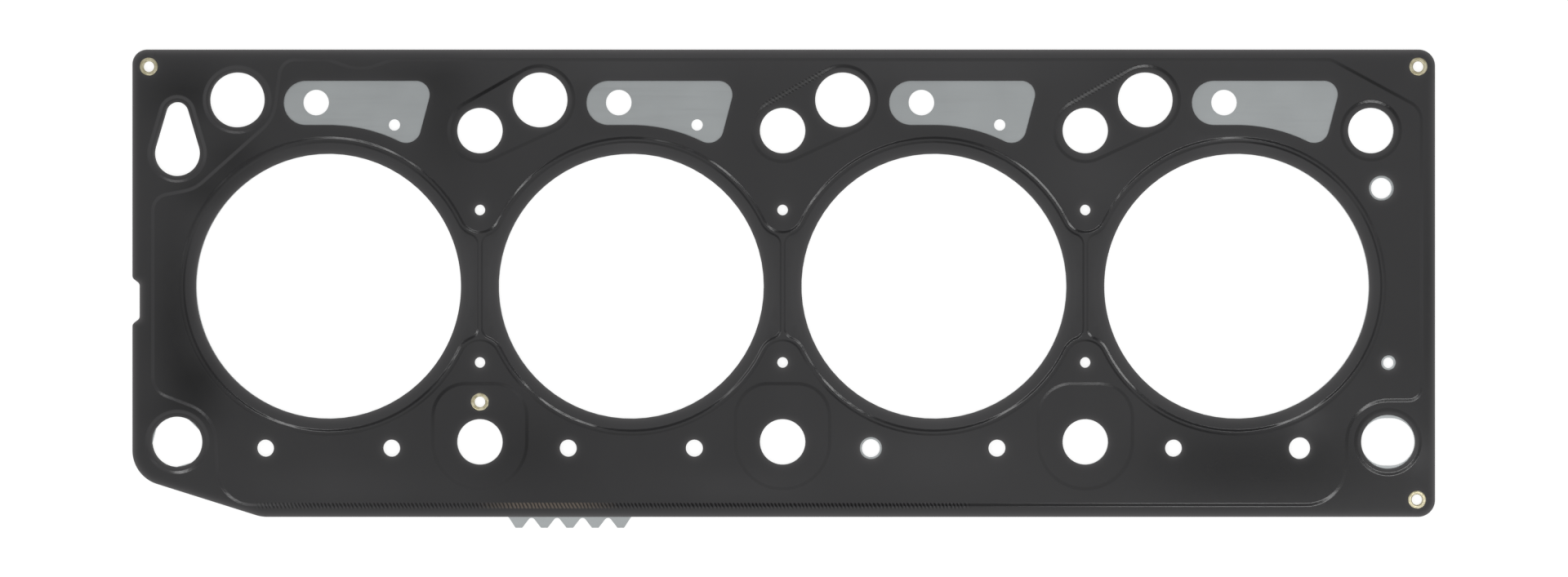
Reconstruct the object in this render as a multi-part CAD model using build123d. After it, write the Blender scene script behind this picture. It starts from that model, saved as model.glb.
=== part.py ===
from build123d import *
import os
from math import asin, atan2, cos, hypot, sin, sqrt, tau

# Cylinder head gasket of layered steel: two embossed active layers, riveted by brass eyelets
# to a plain carrier sheet between them. It lies flat with its block side down.
# X runs along the cylinder row, Y across it and Z up. The origin is the middle of the head
# bolt pattern, on the underside. All sizes are in millimetres.

# Layer stack
active_thickness = 0.25
carrier_thickness = 0.85
emboss_height = 0.25

# Cylinder row
cylinder_count = 4
bore_pitch = 96.0
web_width = 12.0

# Combustion bead: a groove pressed round every bore, shared by two bores in the web
bead_land = 4.48
bead_width = 1.3
bead_flank = 0.95
web_fillet_radius = 6.95
web_corner_radius = 3.4

# Stopper rings, laid on the carrier inside the bead
stopper_thickness = 0.12
stopper_bore_gap = 0.3
stopper_bead_gap = 0.3

# Half bead: a step that parts the sealed field from the rim and the bolt pads
step_flank = 1.4
top_rim = 3.2
bottom_rim = 3.8
left_rim = 6.5
right_rim = 4.3
collar_width = 1.7
dowel_pass_gap = 2.6
dowel_slot_pass_gap = 2.9
bolt_slot_pass_gap = 3.3
passage_pass_gap = 1.8

# Corners of the sealed field, from the nearest bore along the row or from the row's axis
field_top_right_offset = 28.6
field_top_left_offset = 10.4
field_top_corner_radius = 5.2
field_dip_offset = 10.1
field_dip_reach = 11.4
field_dip_radius = 14.2
field_dip_depth = 2.8
field_bend_radius = 6.5
field_left_top_y = 24.0
field_left_bottom_y = 28.8
field_bottom_left_offset = 23.9
field_bottom_left_radius = 11.4
field_bottom_right_offset = 21.9
field_bottom_right_radius = 12.8
field_right_bottom_y = 32.1
field_right_bottom_radius = 4.1
field_right_top_y = 52.5

# Sheet outline: how far it reaches past the edges of the bores, and its corners
left_margin = 20.2
right_margin = 20.9
top_margin = 33.1
bottom_margin = 31.2
top_left_radius = 4.7
top_right_radius = 5.2
bottom_right_radius = 5.4
slant_start_height = 21.1
slant_start_radius = 11.2
slant_end_offset = 19.45
slant_end_radius = 12.0
notch_centre_y = -4.7
notch_mouth = 16.1
notch_floor = 9.6
notch_depth = 2.3
notch_radius = 1.5

# Thickness code: teeth that the carrier shows past the lower edge
tooth_count = 5
tooth_pitch = 8.08
tooth_length = 3.47
tooth_tip_width = 2.35
tooth_tip_radius = 0.25
tooth_root_radius = 1.2
tooth_root_length = 0.35
code_offset = 39.7
carrier_inset = 0.15

# Head bolts and locating dowels. A rise is the distance in Y past the edges of the bores
bolt_row_rise = 7.4
bolt_hole_radius = 7.2
last_bolt_inset = 5.45
slot_bolt_rise = 0.2
slot_tip_rise = 12.8
slot_tip_radius = 3.63
dowel_hole_radius = 7.98
dowel_flat_distance = 7.6
dowel_flat_angle = 45.5
dowel_slot_radius = 8.55
dowel_slot_height = 15.04
dowel_slot_width = 17.1
bolt_pad_width = 2.64
last_bolt_pad_width = 2.1
bolt_loop_radius = 14.9
bolt_loop_corner_radius = 10.4
bolt_loop_top = 18.5

# Coolant and oil holes
passage_web_offset = 19.05
passage_rise = 17.15
passage_radius = 8.7
passage_pad_width = 2.05
web_hole_shift = 0.73
web_hole_radius = 1.67
coolant_offset = 20.0
coolant_rise = 9.4
coolant_radius = 2.7
metered_radius = 2.84
last_coolant_radius = 3.43
feed_reach = 3.9
feed_y = 31.1
feed_metering_radius = 3.29
drain_reach = 6.15
drain_y = 24.3
drain_metering_radius = 1.66
metering_step = 0.67
carrier_hole_gap = 0.2

# Windows that leave the carrier bare, one above each bore
window_land = 9.14
window_end_radius = 7.02
window_end_offset = 7.2
window_corner_radius = 4.43
window_corner_offset = 27.67
window_lobe_radius = 4.74
window_lobe_offset = 24.57
window_hole_offset = 3.97
window_hole_rise = 16.3
window_hole_radius = 4.06
window_jet_offset = 20.87
window_jet_rise = 9.2
window_jet_radius = 1.8

# Eyelets
eyelet_flange_radius = 2.9
eyelet_flange_recess = 0.02
eyelet_tube_radius = 2.1
eyelet_bore_radius = 1.68
eyelet_hole_gap = 0.05
eyelet_curl = 0.1
eyelet_throat = 0.2
upper_eyelet_drop = 5.4
upper_left_eyelet_inset = 5.2
upper_right_eyelet_inset = 5.3
loop_eyelet_inset = 12.7
lower_eyelet_rise = 5.45
lower_eyelet_inset = 5.7

# Below these, two discs of an outline count as touching, and a turn as none
touching_distance = 1e-4
touching_turn = 1e-6

# Heights of the layers
carrier_bottom = active_thickness + emboss_height
carrier_top = carrier_bottom + carrier_thickness
stack_height = carrier_top + emboss_height + active_thickness

# Bores, and the bead round them
bore_radius = (bore_pitch - web_width) / 2
bead_radius = bore_radius + bead_land
web_fillet_y = sqrt((bead_radius + web_fillet_radius) ** 2 - (bore_pitch / 2) ** 2)
window_floor_radius = bore_radius + window_land
window_top = window_floor_radius + 2 * window_end_radius

# Places along the row
first_bore_x = -bore_pitch * (cylinder_count - 1) / 2
bore_xs = [first_bore_x + bore_pitch * index for index in range(cylinder_count)]
web_xs = [x + bore_pitch / 2 for x in bore_xs[:-1]]
last_bore_x = bore_xs[-1]
left_edge = first_bore_x - bore_radius - left_margin
right_edge = last_bore_x + bore_radius + right_margin
left_dowel_x = first_bore_x - bore_pitch / 2
right_dowel_x = last_bore_x + bore_pitch / 2
last_bolt_x = right_dowel_x - last_bolt_inset
feed_x = last_bore_x + bore_radius + feed_reach
drain_x = last_bore_x + bore_radius + drain_reach
passage_offset = bore_pitch / 2 - passage_web_offset
code_start_x = bore_xs[1] - code_offset

# Places across the row
top_reach = bore_radius + top_margin
bottom_reach = bore_radius + bottom_margin
bolt_row_y = bore_radius + bolt_row_rise
slot_bolt_y = bore_radius + slot_bolt_rise
slot_tip_y = bore_radius + slot_tip_rise
passage_y = bore_radius + passage_rise
coolant_y = bore_radius + coolant_rise
window_hole_y = bore_radius + window_hole_rise
window_jet_y = bore_radius + window_jet_rise
web_hole_y = web_fillet_y + web_hole_shift
upper_eyelet_y = top_reach - upper_eyelet_drop
loop_eyelet_y = bolt_row_y - loop_eyelet_inset
lower_eyelet_y = bottom_reach - lower_eyelet_rise


def line_headings(discs):
    """Heading of the straight run from each disc to the next."""
    headings = []
    for (x1, y1, r1), (x2, y2, r2) in zip(discs, discs[1:] + discs[:1]):
        ratio = (r2 - r1) / hypot(x2 - x1, y2 - y1)
        headings.append(atan2(y2 - y1, x2 - x1) - asin(max(-1.0, min(1.0, ratio))))
    return headings


def rim_point(disc, heading):
    """Where a line with this heading leaves the disc's rim."""
    x, y, radius = disc
    return (x + radius * sin(heading), y - radius * cos(heading))


def belt(discs, grow=0.0):
    """Closed line of arcs and tangents that runs anticlockwise round the discs in turn.

    Each disc is (x, y, radius), and the line passes a negative one on its far side. The whole
    line moves outwards by grow. A single disc gives a circle.
    """
    discs = [(x, y, radius + grow) for x, y, radius in discs]
    if len(discs) == 1:
        x, y, radius = discs[0]
        return Wire([Edge.make_circle(radius, Plane((x, y, 0)))])
    headings = line_headings(discs)
    runs = []
    for disc, following, heading in zip(discs, discs[1:] + discs[:1], headings):
        start = rim_point(disc, heading)
        end = rim_point(following, heading)
        touching = hypot(end[0] - start[0], end[1] - start[1]) < touching_distance
        runs.append((start, start if touching else end))
    edges = []
    for index, disc in enumerate(discs):
        arrive = headings[index - 1]
        turn = (headings[index] - arrive) % tau
        if disc[2] < 0:
            turn -= tau
        if disc[2] != 0 and touching_turn < abs(turn) < tau - touching_turn:
            middle = rim_point(disc, arrive + turn / 2)
            edges.append(ThreePointArc(runs[index - 1][1], middle, runs[index][0]))
        if runs[index][0] != runs[index][1]:
            edges.append(Line(*runs[index]))
    return Wire(edges)


def slab(outline, bottom, thickness):
    """Flat sheet of one outline."""
    return extrude(Face(outline), amount=thickness, dir=(0, 0, 1)).moved(Location((0, 0, bottom)))


def frustum(discs, low_grow, high_grow):
    """Solid of the emboss height between two parallel outlines."""
    low = belt(discs, low_grow)
    high = belt(discs, high_grow).moved(Location((0, 0, emboss_height)))
    return Solid.make_loft([low, high], ruled=True)


def land(discs, flank):
    """Raised area whose flanks fall away outside the line."""
    return frustum(discs, flank / 2, -flank / 2)


def pad(discs, flank):
    """Sunk area whose flanks rise away outside the line."""
    return frustum(discs, -flank / 2, flank / 2)


def sheet_outline():
    """Discs in the corners of the sheet, from the top right anticlockwise."""
    mouth_x = left_edge + notch_radius
    floor_x = left_edge + notch_depth - notch_radius
    return [
        (right_edge - top_right_radius, top_reach - top_right_radius, top_right_radius),
        (left_edge + top_left_radius, top_reach - top_left_radius, top_left_radius),
        (mouth_x, notch_centre_y + notch_mouth / 2, notch_radius),
        (floor_x, notch_centre_y + notch_floor / 2, -notch_radius),
        (floor_x, notch_centre_y - notch_floor / 2, -notch_radius),
        (mouth_x, notch_centre_y - notch_mouth / 2, notch_radius),
        (left_edge + slant_start_radius, slant_start_height - bottom_reach, slant_start_radius),
        (first_bore_x - slant_end_offset, slant_end_radius - bottom_reach, slant_end_radius),
        (right_edge - bottom_right_radius, bottom_right_radius - bottom_reach, bottom_right_radius),
    ]


def code_teeth():
    """Discs along the toothed edge of the carrier, from left to right."""
    edge_y = carrier_inset - bottom_reach
    root_y = -bottom_reach - tooth_root_length - tooth_root_radius
    tip_y = -bottom_reach - tooth_length + tooth_tip_radius
    tip_reach = tooth_tip_width / 2 - tooth_tip_radius
    discs = [(code_start_x, edge_y - tooth_root_radius, -tooth_root_radius)]
    for index in range(tooth_count):
        tooth_x = code_start_x + tooth_pitch * (index + 0.5)
        discs.append((tooth_x - tip_reach, tip_y, tooth_tip_radius))
        discs.append((tooth_x + tip_reach, tip_y, tooth_tip_radius))
        discs.append((tooth_x + tooth_pitch / 2, root_y, -tooth_root_radius))
    discs[-1] = (discs[-1][0], edge_y - tooth_root_radius, -tooth_root_radius)
    return discs


def bolt_slot():
    """Bolt hole with an oil way above it, as one slot with a narrow upper end."""
    return [(left_dowel_x, slot_tip_y, slot_tip_radius), (left_dowel_x, slot_bolt_y, bolt_hole_radius)]


def dowel_slot():
    """Carrier's oblong hole, which holds the second dowel across the row only."""
    reach = (dowel_slot_width - dowel_slot_height) / 2
    return [
        (right_dowel_x - reach, -bolt_row_y, dowel_slot_height / 2),
        (right_dowel_x + reach, -bolt_row_y, dowel_slot_height / 2),
    ]


def three_flat_hole():
    """Cutter for the carrier's hole that grips the first dowel between three flats."""
    radius = dowel_hole_radius + carrier_hole_gap
    round_hole = slab(belt([(left_dowel_x, -bolt_row_y, radius)]), 0, stack_height)
    corner_angle = dowel_flat_angle + 180
    flats = RegularPolygon(dowel_flat_distance, 3, major_radius=False, rotation=corner_angle)
    return round_hole & Pos(left_dowel_x, -bolt_row_y) * extrude(flats, amount=stack_height)


def window(bore_x):
    """Window above a bore: its lower edge follows the bore, and its right end is a lobe."""
    corner_y = window_top - window_corner_radius
    lobe_distance = window_floor_radius + window_lobe_radius
    lobe_y = sqrt(lobe_distance ** 2 - window_lobe_offset ** 2)
    return [
        (bore_x - window_end_offset, window_floor_radius + window_end_radius, window_end_radius),
        (bore_x, 0, -window_floor_radius),
        (bore_x + window_lobe_offset, lobe_y, window_lobe_radius),
        (bore_x + window_corner_offset, corner_y, window_corner_radius),
    ]


def bead_outside():
    """Outer flank of the combustion bead, one line round the whole row."""
    outer = bead_radius + bead_width / 2
    fillet = bead_width / 2 - web_fillet_radius
    discs = [(first_bore_x, 0, outer)]
    for web_x in web_xs:
        discs.append((web_x, -web_fillet_y, fillet))
        discs.append((web_x + bore_pitch / 2, 0, outer))
    for web_x in reversed(web_xs):
        discs.append((web_x, web_fillet_y, fillet))
        discs.append((web_x - bore_pitch / 2, 0, outer))
    return discs[:-1]


def bead_inside(bore_x):
    """Inner flank of the combustion bead round one bore, straight along each web."""
    inner = bead_radius - bead_width / 2
    fillet = web_fillet_radius + bead_width / 2
    corner_reach = bead_width / 2 + web_corner_radius
    corner_y = web_fillet_y - sqrt((fillet + web_corner_radius) ** 2 - corner_reach ** 2)
    discs = []
    for side in (1, -1):
        discs.append((bore_x, 0, inner))
        web_x = bore_x + side * bore_pitch / 2
        if first_bore_x < web_x < last_bore_x:
            corner_x = web_x - side * corner_reach
            discs.append((web_x, -side * web_fillet_y, -fillet))
            discs.append((corner_x, -side * corner_y, web_corner_radius))
            discs.append((corner_x, side * corner_y, web_corner_radius))
            discs.append((web_x, side * web_fillet_y, -fillet))
        else:
            discs.pop()
    return discs or [(bore_x, 0, inner)]


def sealed_field():
    """Line of the outer half bead: inside it the sheet stands proud of the carrier."""
    top = top_reach - top_rim
    bottom = bottom_rim - bottom_reach
    left = left_edge + left_rim
    right = right_edge - right_rim
    corner, bend = field_top_corner_radius, field_bend_radius
    dip_x = first_bore_x + field_dip_offset
    passage_pass = passage_radius + collar_width + passage_pass_gap
    bolt_slot_pass = bolt_hole_radius + collar_width + bolt_slot_pass_gap
    dowel_pass = dowel_hole_radius + collar_width + dowel_pass_gap
    dowel_slot_pass = dowel_slot_radius + collar_width + dowel_slot_pass_gap
    top_run = [
        (last_bore_x + field_top_right_offset, top - corner, corner),
        (dip_x + field_dip_reach, top - bend, bend),
        (dip_x, top - field_dip_depth + field_dip_radius, -field_dip_radius),
        (dip_x - field_dip_reach, top - bend, bend),
        (first_bore_x - field_top_left_offset, top - corner, corner),
    ]
    left_run = [
        (first_bore_x - passage_offset, passage_y, -passage_pass),
        (left_dowel_x, slot_bolt_y, -bolt_slot_pass),
        (left + corner, field_left_top_y, corner),
        (left + bend, -field_left_bottom_y, bend),
        (left_dowel_x, -bolt_row_y, -dowel_pass),
    ]
    bottom_left, bottom_right = field_bottom_left_radius, field_bottom_right_radius
    bottom_run = [
        (first_bore_x - field_bottom_left_offset, bottom + bottom_left, bottom_left),
        (last_bore_x + field_bottom_right_offset, bottom + bottom_right, bottom_right),
    ]
    lower_corner = field_right_bottom_radius
    right_run = [
        (right_dowel_x, -bolt_row_y, -dowel_slot_pass),
        (right - lower_corner, -field_right_bottom_y, lower_corner),
        (right - bend, field_right_top_y, bend),
    ]
    return top_run + left_run + bottom_run + right_run


def collars():
    """Holes outside the sealed field, each with a raised collar round it."""
    holes = [
        [(first_bore_x - passage_offset, passage_y, passage_radius)],
        bolt_slot(),
        [(left_dowel_x, -bolt_row_y, dowel_hole_radius)],
        [(right_dowel_x, -bolt_row_y, dowel_slot_radius)],
    ]
    return [[(x, y, radius + collar_width) for x, y, radius in hole] for hole in holes]


def bolt_pads():
    """Sunk pads inside the sealed field, one round each group of bolt hole and passage."""
    pads = [[(last_bolt_x, bolt_row_y, bolt_hole_radius + last_bolt_pad_width)]]
    corner_reach = bolt_loop_radius - bolt_loop_corner_radius
    corner_y = bolt_loop_top - bolt_loop_corner_radius - bolt_row_y
    for web_x in web_xs:
        passage_x = web_x + bore_pitch / 2 - passage_offset
        pads.append([
            (web_x, bolt_row_y, bolt_hole_radius + bolt_pad_width),
            (passage_x, passage_y, passage_radius + passage_pad_width),
        ])
        pads.append([
            (web_x, -bolt_row_y, bolt_loop_radius),
            (web_x + corner_reach, corner_y, bolt_loop_corner_radius),
            (web_x - corner_reach, corner_y, bolt_loop_corner_radius),
        ])
    return pads


def embossing():
    """Volume that the press lifts off the carrier plane, from the carrier's face upwards."""
    field = land(sealed_field(), step_flank)
    field -= pad(bead_outside(), bead_flank)
    for discs in bolt_pads():
        field -= pad(discs, step_flank)
    lifted = [field]
    lifted += [land(bead_inside(bore_x), bead_flank) for bore_x in bore_xs]
    lifted += [land(discs, step_flank) for discs in collars()]
    return Compound(children=lifted)


def eyelet_places():
    """Name and middle of each eyelet."""
    return {
        "eyelet_top_left": (left_edge + upper_left_eyelet_inset, upper_eyelet_y),
        "eyelet_top_right": (right_edge - upper_right_eyelet_inset, upper_eyelet_y),
        "eyelet_bolt_loop": (web_xs[0], -loop_eyelet_y),
        "eyelet_bottom_right": (right_edge - lower_eyelet_inset, -lower_eyelet_y),
    }


def bolt_holes():
    """Round holes for the head bolts that have no dowel or oil way: (x, y, radius)."""
    holes = [(last_bolt_x, bolt_row_y, bolt_hole_radius)]
    for web_x in web_xs:
        holes += [(web_x, side * bolt_row_y, bolt_hole_radius) for side in (1, -1)]
    return holes


def passages():
    """Oil passages above the row and small holes at both ends of each web."""
    holes = [(bore_x - passage_offset, passage_y, passage_radius) for bore_x in bore_xs]
    for web_x in web_xs:
        holes += [(web_x, side * web_hole_y, web_hole_radius) for side in (1, -1)]
    return holes


def coolant_holes():
    """Coolant holes below the row, with the one that the carrier meters marked."""
    holes = []
    for bore_x in bore_xs:
        for side in (-1, 1):
            last = bore_x == last_bore_x and side == 1
            metered = bore_x == bore_xs[cylinder_count // 2] and side == -1
            radius = last_coolant_radius if last else coolant_radius
            holes.append((bore_x + side * coolant_offset, -coolant_y, radius, metered))
    return holes


def eyelet_holes():
    """Holes that the eyelets' tubes pass through."""
    return [(x, y, eyelet_tube_radius + eyelet_hole_gap) for x, y in eyelet_places().values()]


def punched(holes, grow=0.0):
    """Cutters for round holes through the whole stack."""
    return [slab(belt([(x, y, radius)], grow), 0, stack_height) for x, y, radius in holes]


def active_cutters():
    """Everything that is punched out of an active layer."""
    holes = bolt_holes() + passages()
    holes += [(x, 0, bore_radius) for x in bore_xs]
    for x, y, radius, metered in coolant_holes():
        holes.append((x, y, metered_radius + metering_step if metered else radius))
    holes.append((left_dowel_x, -bolt_row_y, dowel_hole_radius))
    holes.append((right_dowel_x, -bolt_row_y, dowel_slot_radius))
    holes.append((feed_x, feed_y, feed_metering_radius + metering_step))
    holes.append((drain_x, -drain_y, drain_metering_radius + metering_step))
    cutters = punched(holes)
    cutters += punched(eyelet_holes())
    cutters.append(slab(belt(bolt_slot()), 0, stack_height))
    cutters += [slab(belt(window(bore_x)), 0, stack_height) for bore_x in bore_xs]
    return cutters


def carrier_cutters():
    """Everything that is punched out of the carrier."""
    holes = passages()
    for x, y, radius, metered in coolant_holes():
        if not metered:
            holes.append((x, y, radius))
    cutters = punched(holes, carrier_hole_gap)
    exact = bolt_holes() + [(x, 0, bore_radius) for x in bore_xs]
    exact += [(x, y, metered_radius) for x, y, radius, metered in coolant_holes() if metered]
    exact.append((feed_x, feed_y, feed_metering_radius))
    exact.append((drain_x, -drain_y, drain_metering_radius))
    exact += eyelet_holes()
    for bore_x in bore_xs:
        exact.append((bore_x - window_hole_offset, window_hole_y, window_hole_radius))
        if bore_x != last_bore_x:
            exact.append((bore_x + window_jet_offset, window_jet_y, window_jet_radius))
    cutters += punched(exact)
    cutters.append(slab(belt(bolt_slot(), carrier_hole_gap), 0, stack_height))
    cutters.append(slab(belt(dowel_slot()), 0, stack_height))
    cutters.append(three_flat_hole())
    return cutters


def active_layer():
    """Embossed sheet of constant thickness, with its carrier side at zero height."""
    lifted = embossing()
    sheet = slab(belt(sheet_outline()), 0, active_thickness)
    sheet += lifted.moved(Location((0, 0, active_thickness)))
    sheet -= lifted
    return sheet - active_cutters()


def carrier_layer():
    """Plain sheet that spaces the active layers, with the toothed thickness code."""
    discs = [(x, y, radius - carrier_inset) for x, y, radius in sheet_outline()]
    discs[-1:-1] = code_teeth()
    return slab(belt(discs), carrier_bottom, carrier_thickness) - carrier_cutters()


def tube(outer, inner, bottom, top):
    """Round tube that stands on the given height."""
    height = top - bottom
    return Pos(0, 0, (bottom + top) / 2) * (Cylinder(outer, height) - Cylinder(inner, height))


def stopper_ring(bore_x):
    """Thin ring that limits how far the bead is crushed."""
    outer = bead_radius - bead_width / 2 - bead_flank / 2 - stopper_bead_gap
    inner = bore_radius + stopper_bore_gap
    return Pos(bore_x, 0, 0) * tube(outer, inner, carrier_top, carrier_top + stopper_thickness)


def end_circles(solid):
    """Circles round the lowest and highest faces, from the smallest."""
    levels = solid.edges().group_by(Axis.Z)
    return (levels[0] + levels[-1]).sort_by(SortBy.RADIUS)


def eyelet(x, y):
    """Brass rivet tube, flared over both active layers and flush with their raised fields."""
    bottom = eyelet_flange_recess
    top = stack_height - eyelet_flange_recess
    rivet = tube(eyelet_flange_radius, eyelet_bore_radius, bottom, top)
    rivet -= tube(eyelet_flange_radius, eyelet_tube_radius, emboss_height, stack_height - emboss_height)
    rivet = chamfer(end_circles(rivet)[-2:], eyelet_curl)
    rivet = chamfer(end_circles(rivet)[:2], eyelet_throat)
    return Pos(x, y, 0) * rivet


def save(name, solid):
    """Writes one named piece."""
    export_step(solid, f"parts/{name}.step")


os.makedirs("parts", exist_ok=True)
upper = active_layer()
save("upper_active_layer", upper.moved(Location((0, 0, carrier_top))))
save("lower_active_layer", mirror(upper, Plane.XY).moved(Location((0, 0, carrier_bottom))))
save("carrier_layer", carrier_layer())
for number, ring_x in enumerate(bore_xs, start=1):
    save(f"stopper_ring_{number}", stopper_ring(ring_x))
for eyelet_name, (eyelet_x, eyelet_y) in eyelet_places().items():
    save(eyelet_name, eyelet(eyelet_x, eyelet_y))
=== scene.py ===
import math
import random

import bmesh
import bpy
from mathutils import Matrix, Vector, kdtree
from mathutils.bvhtree import BVHTree
from mathutils.geometry import delaunay_2d_cdt


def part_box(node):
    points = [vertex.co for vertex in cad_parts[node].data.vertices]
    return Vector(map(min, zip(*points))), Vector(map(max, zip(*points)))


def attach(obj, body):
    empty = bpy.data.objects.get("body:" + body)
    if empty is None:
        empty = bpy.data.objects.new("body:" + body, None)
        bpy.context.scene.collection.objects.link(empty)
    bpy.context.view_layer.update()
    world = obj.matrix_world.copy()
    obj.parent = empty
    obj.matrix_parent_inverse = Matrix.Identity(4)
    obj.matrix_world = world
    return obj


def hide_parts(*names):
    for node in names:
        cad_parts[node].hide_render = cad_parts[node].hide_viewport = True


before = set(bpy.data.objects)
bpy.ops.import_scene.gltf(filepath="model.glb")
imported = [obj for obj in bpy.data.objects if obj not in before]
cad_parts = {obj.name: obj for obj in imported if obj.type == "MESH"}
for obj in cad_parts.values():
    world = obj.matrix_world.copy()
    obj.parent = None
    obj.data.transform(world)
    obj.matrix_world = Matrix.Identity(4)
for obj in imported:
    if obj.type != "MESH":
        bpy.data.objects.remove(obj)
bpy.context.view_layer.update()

# A cylinder head gasket lying on a white table, seen from straight above. Sizes are in metres.
MM = 0.001

# Photograph: its width in metres at the gasket's height, and the point in its middle
PHOTO_WIDTH = 497.14 * MM
PHOTO_CENTRE = (0.44 * MM, -0.72 * MM)

# Camera
LENS = 100.0
SENSOR = 36.0

# Active layers: levels of the upper one's top face, and the pads that are pressed less deep
STACK_HEIGHT = 1.85 * MM
LAYER_THICKNESS = 0.25 * MM
LOW_TOP = 1.6 * MM
EMBOSS_HEIGHT = 0.25 * MM
HIGH_TOP = LOW_TOP + EMBOSS_HEIGHT
SOFT_PAD_DEPTH = 0.5
SOFT_PAD_MIDDLES = ((-96 * MM, -47 * MM), (0, -47 * MM), (96 * MM, -47 * MM))
SOFT_PAD_REACH = 19 * MM

# Flanks of the pressed lines: share of the height in each round bend, and where their level lines run
BEND_SHARE = 0.25
RUNG_SHARES = (0.125, 0.25, 0.5, 0.75, 0.875)
SHALLOW_SLOPE = 0.22
SHALLOW_GAIN = 0.75

# Sheet edges: how far in and down they are broken, how far their normals lean outward, and the sharpest
# corners that the broken edge follows in full or at all
EDGE_BREAK = 0.05 * MM
EDGE_DROP = 0.03 * MM
EDGE_LEAN = 0.8
EDGE_MITRE = 0.5
LEAST_MITRE = 0.2

# Telling faces, lines and points apart, the last in millimetres
TOP_NORMAL = 0.3
FLAT_NORMAL = 0.99995
SAME_POINT = 0.0001 * MM
SAME_LEVEL = 0.001 * MM
FLOOR_LEVEL = LOW_TOP + 0.01 * MM
SAME_LENGTH = 0.02
SHARP_TURN = 0.5
STRAIGHT_TURN = 0.0005
PLAN_GAP = 0.0002

# How finely lines and flats are divided
LONGEST_EDGE = 3.0 * MM
LONGEST_FLANK = 4.0 * MM
ARC_BOW = 0.006 * MM
TURN_PASSES = 3
GRID_PITCH = 4.0 * MM
RIM_OFFSETS = (0.9 * MM, 1.8 * MM, 3.0 * MM)

# Painted glare: paler coat colour painted along sheet edges, for the glare of the white table beyond them:
# least width of an opening and its strength, and reach in millimetres
PAINTED_GLARE_STRENGTHS = ((300 * MM, 1.0), (60 * MM, 0.6), (30 * MM, 0.12), (0, 0.45))
EDGE_SAMPLE = 0.4 * MM
EDGE_FAR = 5.0
PAINTED_GLARE_REACH = 0.75

# Eyelets: radius and depth below the stack's top, in millimetres, along the upper half of the section
EYELET_STEPS = 72
EYELET_PROFILE = (
    (1.68, 0.8), (1.68, 0.36), (1.7, 0.24), (1.76, 0.14), (1.86, 0.07), (2.0, 0.04), (2.14, 0.045),
    (2.26, 0.05), (2.4, 0.03), (2.56, 0.02), (2.7, 0.035), (2.81, 0.075), (2.88, 0.13), (2.9, 0.19),
    (2.87, 0.24), (2.7, 0.25), (2.1, 0.25), (2.1, 0.8),
)

# Eyelets' uneven rims: waves round the rim and their sizes, and how the rim goes in and down with them
EYELET_WAVES = (2, 3, 5, 9)
EYELET_WAVE_SIZES = (0.2, 1.0)
EYELET_TRUE = 1.9 * MM
EYELET_DENT = 0.018
EYELET_LIFT = 0.012

# Lamps: left, right, lower and upper edge of each, and how brightly they glow
LAMP_HEIGHT = 1.0
LEFT_LAMP = (-0.56, -0.215, -0.62, -0.32)
RIGHT_LAMP = (0.17, 0.6, -0.38, -0.22)
LAMP_GLOWS = {"left_lamp": 8.0, "right_lamp": 9.0}

# Room light: levels of its dim, overhead, low and slanting parts, and where each turns to the next
ROOM_DIM = 0.2
ROOM_ABOVE = 0.8
ROOM_LOW = 1.0
ROOM_SIDE = 0.2
ROOM_CORNER = 0.05
UPWARD_EDGE = (-0.3, 0.08)
SIDE_EDGE = (0.35, 0.8)
CORNER_EDGE = (0.55, 0.9)
LOW_EDGE = (0.6, 0.35)

# Table
TABLE_HEIGHT = -0.05 * MM
TABLE_REACH = 4.0
TABLE_COLOUR = (0.3, 0.3, 0.3, 1)
TABLE_ROUGH = 0.9
TABLE_GLOW = 0.82

# Painted shade and highlights: darker and paler places painted on the coat, each with its middle, reach and
# tone, in millimetres
PAINTED_SHADING_PATCHES = (
    (-190, 61, 12, 9, -0.9), (-174, 40, 9, 8, -0.7), (-184, 30, 8, 5, -0.6), (-186, -31, 9, 9, -1.0),
    (-193, -18, 8, 14, -0.3), (-190, -41, 14, 5, -0.4), (-106, 54, 9, 16, -0.45), (-82, -52, 14, 12, -0.4),
    (-46, 69, 28, 5, 0.55), (52, 69, 36, 5, 0.55), (-48, 45, 12, 2.5, 0.45), (144, 45, 12, 2.5, 0.95),
    (48, -57, 28, 12, 0.35), (150, -58, 36, 12, -0.9), (166, -43, 6, 5, 0.8), (202, -54, 5, 6, 0.8),
    (99, 35, 14, 12, 0.35), (-140, -64, 28, 7, 0.4), (-193, -3, 6, 22, -0.55), (-112, 66, 14, 6, -0.35),
    (-15, -64, 22, 6, 0.4), (-96, 0, 4, 22, 0.35), (0, 0, 4, 22, 0.35), (96, 0, 4, 22, 0.35),
    (0, 73.8, 200, 2.2, 0.5), (-30, -72.8, 150, 2, 0.45), (205.5, 0, 2, 60, -0.5),
    (60, 10, 130, 200, 0.13), (170, 50, 60, 25, 0.15), (20, -50, 50, 20, 0.08),
)
COAT_CLOUD_TONE = 0.1

# Painted glare on the coat of the raised ring round each bore, paler next to the bright bore: its strength,
# and the radii in millimetres where it fades
BORE_MIDDLES = (-144, -48, 48, 144)
ANNULUS_PAINTED_GLARE = 0.4
ANNULUS_REACH = (44.5, 47.0)

# Painted shading on flanks, standing in for the shade and sheen that the slopes catch: tone of shallow ones
# at the left end and of all at the right, and where it changes
PAINTED_FLANK_SHADING = (0.35, -0.35)
FLANK_REACH = (-160, -145)
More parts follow.
